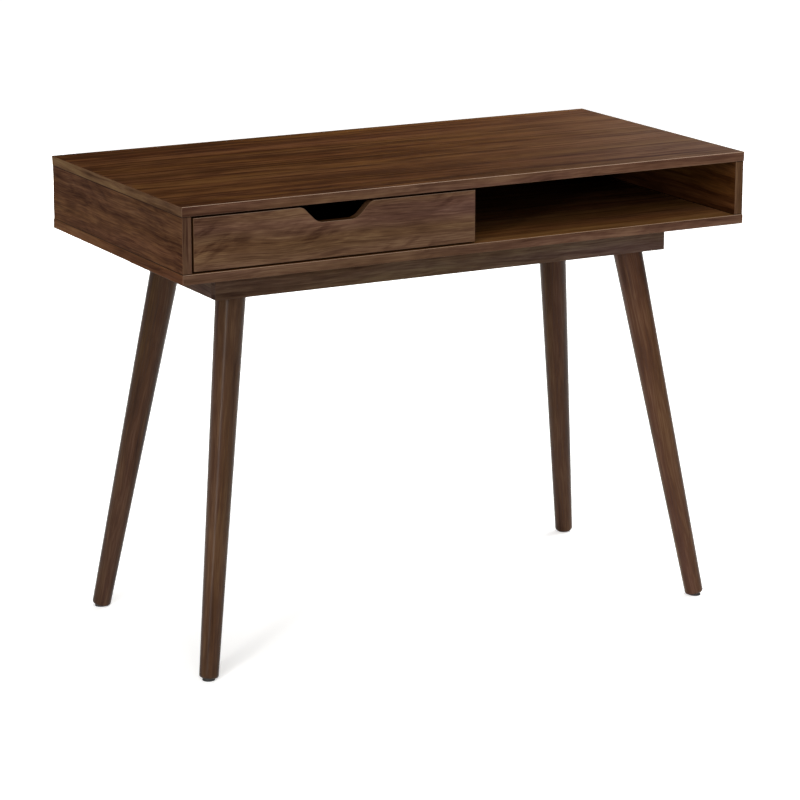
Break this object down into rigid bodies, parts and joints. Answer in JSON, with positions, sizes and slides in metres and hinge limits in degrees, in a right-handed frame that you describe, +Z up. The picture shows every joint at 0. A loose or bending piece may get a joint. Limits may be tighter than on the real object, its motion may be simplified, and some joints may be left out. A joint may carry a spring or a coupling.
{
  "type": "writing desk",
  "caption": "Writing desk with a flat walnut case, a drawer with a slant-sided finger cut-out beside an open cubby, and round tapered legs splayed from a rail underframe.",
  "frame": {"origin": "on the floor, below the middle of the top", "axes": "+Z up, the drawer and cubby open towards -Y, +X to the right of a viewer in front, with the drawer at -X"},
  "size_m": [1, 0.5, 0.755],
  "materials": {
    "walnut_board": "satin dark walnut veneer",
    "walnut_leg": "satin dark walnut stain",
    "drawer_board": "matt walnut-tone foil",
    "hardboard": "smooth brown hardboard",
    "beech": "raw beech",
    "zinc_steel": "bright zinc plate",
    "coated_steel": "satin dark brown epoxy coat",
    "nylon": "natural nylon",
    "dark_pad": "matt black moulded pad"
  },
  "bodies": {
    "desk": {"back_panel": "walnut_board", "bottom_panel": "walnut_board", "cabinet_roller_pins": "zinc_steel", "cabinet_runner_screws": "zinc_steel", "carcass_dowels": "beech", "carcass_screws": "zinc_steel", "centre_divider": "walnut_board", "frame_bracket_screws": "zinc_steel", "frame_brackets": "zinc_steel", "frame_dowels": "beech", "front_left_foot_pad": "dark_pad", "front_left_glue_block": "beech", "front_left_leg": "walnut_leg", "front_left_leg_plate": "zinc_steel", "front_rail": "walnut_board", "front_right_foot_pad": "dark_pad", "front_right_glue_block": "beech", "front_right_leg": "walnut_leg", "front_right_leg_plate": "zinc_steel", "hanger_bolts": "zinc_steel", "left_cabinet_runner": "coated_steel", "left_rail": "walnut_board", "left_side_panel": "walnut_board", "leg_plate_screws": "zinc_steel", "rear_left_foot_pad": "dark_pad", "rear_left_glue_block": "beech", "rear_left_leg": "walnut_leg", "rear_left_leg_plate": "zinc_steel", "rear_rail": "walnut_board", "rear_right_foot_pad": "dark_pad", "rear_right_glue_block": "beech", "rear_right_leg": "walnut_leg", "rear_right_leg_plate": "zinc_steel", "right_cabinet_runner": "coated_steel", "right_rail": "walnut_board", "right_side_panel": "walnut_board", "top_panel": "walnut_board"},
    "drawer": {"drawer_front": "walnut_board", "drawer_left_side": "drawer_board", "drawer_right_side": "drawer_board", "drawer_back": "drawer_board", "drawer_bottom": "hardboard", "drawer_dowels": "beech", "drawer_cam_bolts": "zinc_steel", "drawer_cam_nuts": "zinc_steel", "drawer_back_screws": "zinc_steel", "left_drawer_runner": "coated_steel", "right_drawer_runner": "coated_steel", "drawer_roller_pins": "zinc_steel", "drawer_runner_screws": "zinc_steel"},
    "left_cabinet_roller": {"left_cabinet_roller": "nylon"},
    "right_cabinet_roller": {"right_cabinet_roller": "nylon"},
    "left_drawer_roller": {"left_drawer_roller": "nylon"},
    "right_drawer_roller": {"right_drawer_roller": "nylon"}
  },
  "joints": [
    {"name": "drawer_slide", "type": "slide", "parent": "desk", "child": "drawer", "axis": [0, -1, 0], "range_m": [0, 0.265]},
    {"name": "left_cabinet_roller_spin", "type": "hinge", "parent": "desk", "child": "left_cabinet_roller", "pos_m": [-0.47955, -0.22, 0.6675], "axis": [1, 0, 0], "continuous": true},
    {"name": "right_cabinet_roller_spin", "type": "hinge", "parent": "desk", "child": "right_cabinet_roller", "pos_m": [-0.02095, -0.22, 0.6675], "axis": [1, 0, 0], "continuous": true},
    {"name": "left_drawer_roller_spin", "type": "hinge", "parent": "drawer", "child": "left_drawer_roller", "pos_m": [-0.47845, 0.106, 0.6675], "axis": [1, 0, 0], "continuous": true},
    {"name": "right_drawer_roller_spin", "type": "hinge", "parent": "drawer", "child": "right_drawer_roller", "pos_m": [-0.02205, 0.106, 0.6675], "axis": [1, 0, 0], "continuous": true}
  ],
  "couplings": [
    {"joint": "left_cabinet_roller_spin", "follows": "drawer_slide", "rad_per_m": 125},
    {"joint": "right_cabinet_roller_spin", "follows": "drawer_slide", "rad_per_m": 125},
    {"joint": "left_drawer_roller_spin", "follows": "drawer_slide", "rad_per_m": 125},
    {"joint": "right_drawer_roller_spin", "follows": "drawer_slide", "rad_per_m": 125}
  ]
}
